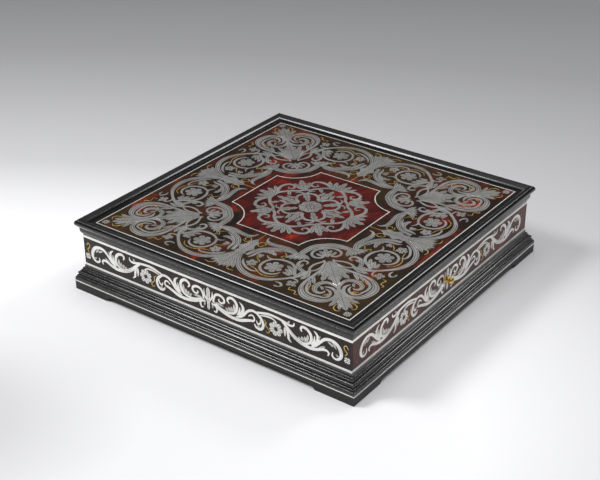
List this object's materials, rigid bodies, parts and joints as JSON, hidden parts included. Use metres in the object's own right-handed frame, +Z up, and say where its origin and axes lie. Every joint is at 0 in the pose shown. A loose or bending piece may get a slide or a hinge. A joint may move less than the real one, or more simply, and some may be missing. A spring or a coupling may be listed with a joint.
{
  "type": "letter and writing box",
  "caption": "Low square writing box on bracket feet with a hinged rimmed lid, a side drawer with a knob, reeded mouldings and scroll marquetry.",
  "frame": {"origin": "on the floor, under the centre of the base", "axes": "+X to the right along the front, towards the drawer's knob; +Y to the back, where the lid's hinges are; +Z up"},
  "size_m": [0.369, 0.369, 0.0843],
  "materials": {
    "ebonised_wood": "satin black polish",
    "pewter": "engraved pewter, dull sheen",
    "tortoiseshell": "dark brown and red tortoiseshell, polished",
    "red_tortoiseshell": "red tortoiseshell, polished",
    "brass": "polished, slightly tarnished",
    "carcass_wood": "waxed oak",
    "drawer_wood": "waxed walnut"
  },
  "bodies": {
    "case": {"plinth_front": "ebonised_wood", "plinth_right": "ebonised_wood", "plinth_back": "ebonised_wood", "plinth_left": "ebonised_wood", "plinth_line_front": "pewter", "plinth_line_right": "pewter", "plinth_line_back": "pewter", "plinth_line_left": "pewter", "base_moulding_front": "ebonised_wood", "base_moulding_right": "ebonised_wood", "base_moulding_back": "ebonised_wood", "base_moulding_left": "ebonised_wood", "lower_band_front": "pewter", "lower_band_right": "pewter", "lower_band_back": "pewter", "lower_band_left": "pewter", "upper_band_front": "pewter", "upper_band_right": "pewter", "upper_band_back": "pewter", "upper_band_left": "pewter", "front_wall": "carcass_wood", "back_wall": "carcass_wood", "left_wall": "carcass_wood", "right_rail": "carcass_wood", "frieze_front": "tortoiseshell", "frieze_back": "tortoiseshell", "frieze_left": "tortoiseshell", "corner_strips": "ebonised_wood", "bottom_board": "carcass_wood", "partition": "carcass_wood", "dust_board": "carcass_wood", "drawer_cover_board": "carcass_wood", "hinge_case_leaves": "brass", "hinge_pins": "brass"},
    "lid": {"lid_rim_front": "ebonised_wood", "lid_rim_right": "ebonised_wood", "lid_rim_back": "ebonised_wood", "lid_rim_left": "ebonised_wood", "lid_border_front": "ebonised_wood", "lid_border_right": "ebonised_wood", "lid_border_back": "ebonised_wood", "lid_border_left": "ebonised_wood", "lid_stringing_front": "pewter", "lid_stringing_right": "pewter", "lid_stringing_back": "pewter", "lid_stringing_left": "pewter", "lid_core": "carcass_wood", "lid_field_veneer": "tortoiseshell", "cartouche_veneer": "red_tortoiseshell", "cartouche_stringing": "pewter", "hinge_lid_leaves": "brass"},
    "drawer": {"drawer_front": "drawer_wood", "drawer_veneer": "tortoiseshell", "drawer_side_front": "drawer_wood", "drawer_side_back": "drawer_wood", "drawer_back": "drawer_wood", "drawer_bottom": "drawer_wood", "drawer_knob": "brass", "drawer_knob_nut": "brass"}
  },
  "joints": [
    {"name": "lid_hinge", "type": "hinge", "parent": "case", "child": "lid", "pos_m": [0, 0.176, 0.06635], "axis": [-1, 0, 0], "range_deg": [0, 95]},
    {"name": "drawer_slide", "type": "slide", "parent": "case", "child": "drawer", "axis": [1, 0, 0], "range_m": [0, 0.085]}
  ]
}
